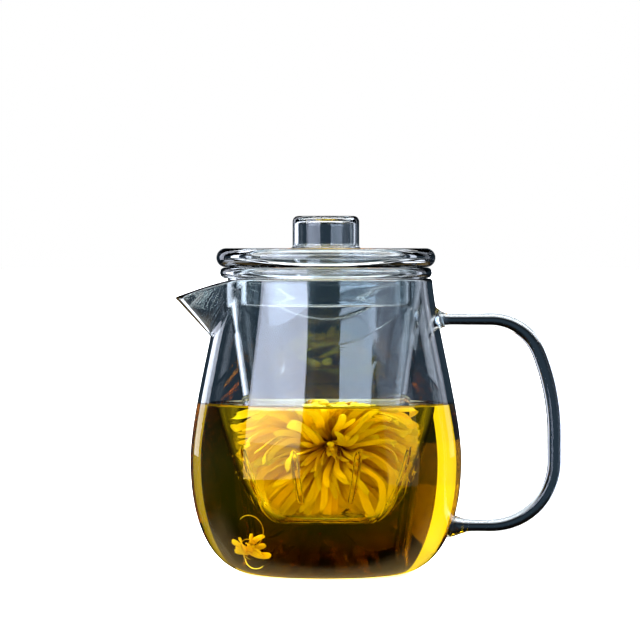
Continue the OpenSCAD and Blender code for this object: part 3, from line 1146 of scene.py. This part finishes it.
@dataclass(frozen=True)
class Softbox:
    """A rectangular soft light, by where it stands round the pot as seen from above.

    azimuth is counted from the camera's side, towards +X; spans are the angles that it covers as seen from
    the pot. Glass mirrors it only if mirrored is true, and shows it bent only if bent is true.
    """

    name: str
    azimuth: tuple[float, float]
    elevation: tuple[float, float]
    radiance: float
    colour: str
    mirrored: bool = True
    bent: bool = True
    distance: float = 0.75

    def add(self, aim: Array) -> None:
        """Adds the light, facing the point aim."""
        azimuth = math.radians(sum(self.azimuth) / 2)
        elevation = math.radians(sum(self.elevation) / 2)
        level = math.cos(elevation)
        way = np.array([math.sin(azimuth) * level, -math.cos(azimuth) * level, math.sin(elevation)])
        width, height = (
            2 * self.distance * math.tan(math.radians(span[1] - span[0]) / 2)
            for span in (self.azimuth, self.elevation)
        )
        lamp = bpy.data.lights.new(self.name, "AREA")
        lamp.shape = "RECTANGLE"
        lamp.size, lamp.size_y = width, height
        lamp.color = linear(self.colour)[:3]
        lamp.energy = self.radiance * math.pi * width * height
        light = add_object(self.name, lamp)
        light.location = aim + self.distance * way
        light.rotation_euler = (math.pi / 2 - elevation, 0, azimuth)
        light.visible_camera = False
        light.visible_glossy = self.mirrored
        light.visible_transmission = self.bent


@dataclass
class Studio:
    """A pale floor, a white background, dark surroundings that only the glass sees, and soft lights."""

    aim: Spot = (-2.3 * MM, 0.0, 98.3 * MM)
    distance: float = 1.62
    eye_z: float = 127 * MM
    frame_width: float = 248 * MM
    lit_z: float = 70 * MM
    floor_half: float = 20.0
    glow: float = 4.6
    room: Stops = ((0.475, "#293540"), (0.54, "#293540"), (0.62, "#080706"))  # from 0 below to 1 above
    ground: Stops = ((0.42, "#0B0806"),)
    table_mirrored: Stops = ((0.3, "#C8A868"), (0.38, "#0B0806"))
    table_bent: Stops = ((0.3, "#DCE4EC"), (0.38, "#0B0806"))
    behind: Point = (0.1, 0.4)  # between which the way's Y fades the table in
    bounces: int = 24
    lights: tuple[Softbox, ...] = (
        Softbox("softbox_front_left", (-72, -21), (7, 40), 7.8, "#DCE6FF"),
        Softbox("softbox_front_left_low", (-72, -21), (-10, 7), 3.6, "#DCE6FF"),
        Softbox("softbox_front_right", (50, 84), (-12, 40), 0.8, "#D8E2FA"),
        Softbox("strip_mirrored_left", (-148, -134), (-3, 45), 2.0, "#E8EEFF", bent=False),
        Softbox("strip_mirrored_right", (127, 138), (-3, 40), 0.7, "#E8EEFF", bent=False),
        Softbox("strip_bent_left", (-151, -131), (-34, 45), 2.3, "#E8EEFF", mirrored=False),
        Softbox("strip_bent_right", (125, 139), (-34, 40), 0.9, "#E8EEFF", mirrored=False),
        Softbox("softbox_top", (-60, 60), (60, 100), 9.0, "#FFFFFF"),
        Softbox("softbox_back", (150, 210), (38, 52), 2.0, "#FFFFFF"),
    )

    def floor(self) -> None:
        """A wide pale floor that the glass doesn't mirror."""
        mesh = bpy.data.meshes.new("floor")
        size = self.floor_half
        corners = [(-size, -size, 0), (size, -size, 0), (size, size, 0), (-size, size, 0)]
        mesh.from_pydata(corners, [], [(0, 1, 2, 3)])
        floor = add_object("floor", mesh)
        material, tree = new_material("matt_white_floor")
        white = {
            "Base Color": linear("#F4F4F4"),
            "Roughness": 0.9,
            "Emission Color": linear("#FFFFFF"),
            "Emission Strength": 0.35,
        }
        paint = add_node(tree, "BsdfPrincipled", inputs=white)
        add_node(tree, "OutputMaterial", inputs={"Surface": paint.outputs[0]})
        mesh.materials.append(material)
        floor.visible_glossy = False
        floor.visible_transmission = False

    def world(self) -> None:
        """White where the camera looks past the pot, a soft glow for matt surfaces, and for what glass
        mirrors and bends a dark slate room with a paler table in it, behind the pot."""
        world = bpy.data.worlds.new("studio")
        bpy.context.scene.world = world
        world.use_nodes = True
        tree = world.node_tree
        tree.nodes.clear()
        path = add_node(tree, "LightPath").outputs
        place = add_node(tree, "TexCoord").outputs["Generated"]
        way = add_node(tree, "SeparateXYZ", inputs={0: place}).outputs
        above = {0: way["Z"], 1: 0.5, 2: 0.5}
        height = add_node(tree, "Math", {"operation": "MULTIPLY_ADD"}, above).outputs[0]
        dark, mirrored, bent = (
            add_node(tree, "ValToRGB", inputs={"Fac": height}, stops=(*low, *self.room)).outputs["Color"]
            for low in (self.ground, self.table_mirrored, self.table_bent)
        )
        span = {"Value": way["Y"], "From Min": self.behind[0], "From Max": self.behind[1]}
        behind = add_node(tree, "MapRange", inputs=span).outputs[0]
        scattered = {0: path["Diffuse Depth"], 1: 0.5}
        matt = add_node(tree, "Math", {"operation": "GREATER_THAN"}, scattered).outputs[0]
        mix = {"data_type": "RGBA"}
        table = {SHARE: path["Is Transmission Ray"], FIRST: mirrored, SECOND: bent}
        seen = add_node(tree, "Mix", mix, table).outputs[MIXED]
        around = {SHARE: behind, FIRST: dark, SECOND: seen}
        seen = add_node(tree, "Mix", mix, around).outputs[MIXED]
        on_matt = {SHARE: matt, FIRST: seen, SECOND: linear("#F4F6FA", self.glow)}
        seen = add_node(tree, "Mix", mix, on_matt).outputs[MIXED]
        backdrop = {SHARE: path["Is Camera Ray"], FIRST: seen, SECOND: linear("#FFFFFF")}
        seen = add_node(tree, "Mix", mix, backdrop).outputs[MIXED]
        shine = add_node(tree, "Background", inputs={"Color": seen, "Strength": 1.0})
        add_node(tree, "OutputWorld", inputs={"Surface": shine.outputs[0]})

    def camera(self) -> None:
        """The camera, level with the lid and far away, looking along +Y."""
        lens = bpy.data.cameras.new("camera")
        camera = add_object("camera", lens)
        aim = np.array(self.aim)
        place = aim + np.array([0, -self.distance, self.eye_z - self.aim[2]])
        camera.location = place
        drop = math.atan2(self.eye_z - self.aim[2], self.distance)
        camera.rotation_euler = (math.pi / 2 - drop, 0, 0)
        reach = float(np.linalg.norm(place - aim))
        lens.sensor_width = 36
        lens.lens = lens.sensor_width * reach / self.frame_width
        lens.clip_end = 100
        bpy.context.scene.camera = camera

    def build(self) -> None:
        """Adds the floor, the surroundings, the lights and the camera."""
        self.floor()
        self.world()
        for light in self.lights:
            light.add(np.array([0, 0, self.lit_z]))
        self.camera()
        scene = bpy.context.scene
        scene.view_settings.view_transform = "Standard"
        for kind in ("max_bounces", "transmission_bounces", "transparent_max_bounces"):
            setattr(scene.cycles, kind, self.bounces)
        scene.cycles.sample_clamp_indirect = 6.0


def main() -> None:
    """Builds the teapot, what is in it and the studio."""
    logging.basicConfig(level=logging.INFO, format="%(name)s: %(message)s")
    glass = BorosilicateGlass().material()
    pot = Pot(glass)
    infuser = Infuser(glass, pot.tea_level)
    parts = (
        pot,
        Handle(glass, pot),
        infuser,
        Lid(glass),
        Tea(FlowerTea().material(), pot),
        Chrysanthemum(Petal().material(), FlowerHeart().material(), infuser),
        Studio(),
    )
    for part in parts:
        part.build()


if __name__ == "__main__":
    main()
